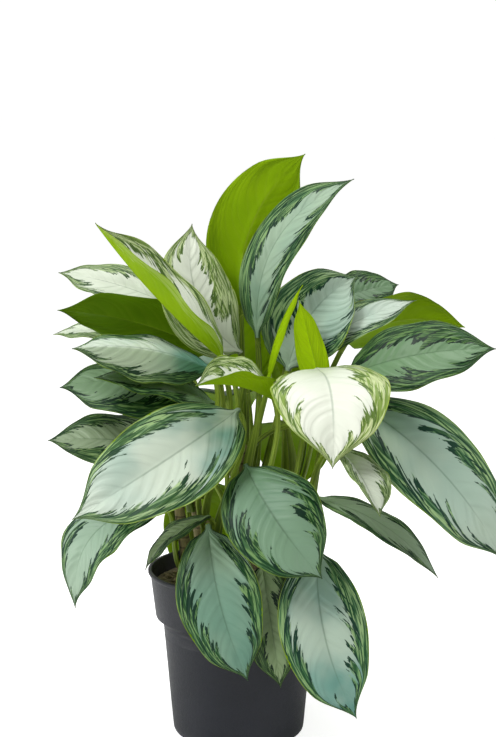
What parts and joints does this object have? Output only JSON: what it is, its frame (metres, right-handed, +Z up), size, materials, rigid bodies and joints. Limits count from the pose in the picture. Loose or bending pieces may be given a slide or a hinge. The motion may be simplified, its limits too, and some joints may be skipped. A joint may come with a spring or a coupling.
{
  "type": "potted chinese evergreen",
  "caption": "Potted Chinese evergreen: silver-green feathered leaves on short canes in a dark grey nursery pot.",
  "frame": {"origin": "centre of the pot's underside, on the surface that it stands on", "axes": "+Z up; the front of the plant looks along -Y and its right-hand side is +X"},
  "size_m": [0.4683, 0.4189, 0.6074],
  "materials": {
    "pot_plastic": "matt dark grey plastic, lightly scuffed",
    "potting_mix": "loose brown bark and peat, matt",
    "cane": "smooth green stem with paler rings",
    "leaf": "satin leaf, silver centre, dark green feathered edge",
    "leaf_young": "satin bright yellow-green young leaf"
  },
  "bodies": {
    "root": {"pot": "pot_plastic", "soil": "potting_mix", "cane_1": "cane", "cane_2": "cane", "cane_3": "cane", "cane_4": "cane", "cane_5": "cane", "cane_6": "cane", "cane_7": "cane", "cane_8": "cane", "leaf_crown_tall": "leaf", "leaf_crown_arching": "leaf", "leaf_crown_left": "leaf", "leaf_crown_edge": "leaf", "leaf_new": "leaf_young", "leaf_crown_rolled": "leaf_young", "leaf_crown_silver": "leaf", "leaf_left_top": "leaf", "leaf_left_green": "leaf", "leaf_left_slim": "leaf", "leaf_left_folded": "leaf", "leaf_left_under": "leaf", "leaf_left_shaded": "leaf", "leaf_left_lower": "leaf", "leaf_left_large": "leaf", "leaf_left_hanging": "leaf", "leaf_rim_left": "leaf", "leaf_centre_curled": "leaf", "leaf_front_cream": "leaf", "leaf_front_centre": "leaf", "leaf_hanging_left": "leaf", "leaf_hanging_right": "leaf", "leaf_hanging_middle": "leaf", "leaf_right_narrow": "leaf", "leaf_right_rear": "leaf", "leaf_right_green": "leaf", "leaf_right_dark": "leaf", "leaf_right_large": "leaf", "leaf_right_small": "leaf", "leaf_right_low": "leaf", "leaf_rear_high": "leaf", "leaf_rear_straight": "leaf", "leaf_rear_right_high": "leaf", "leaf_rear_right_middle": "leaf", "leaf_rear_right_low": "leaf", "leaf_rear_left_high": "leaf", "leaf_rear_left_middle": "leaf", "leaf_rear_left_low": "leaf", "leaf_rear_middle": "leaf", "leaf_rear_low": "leaf", "leaf_rear_hanging_right": "leaf", "leaf_rear_hanging_left": "leaf"}
  },
  "joints": []
}
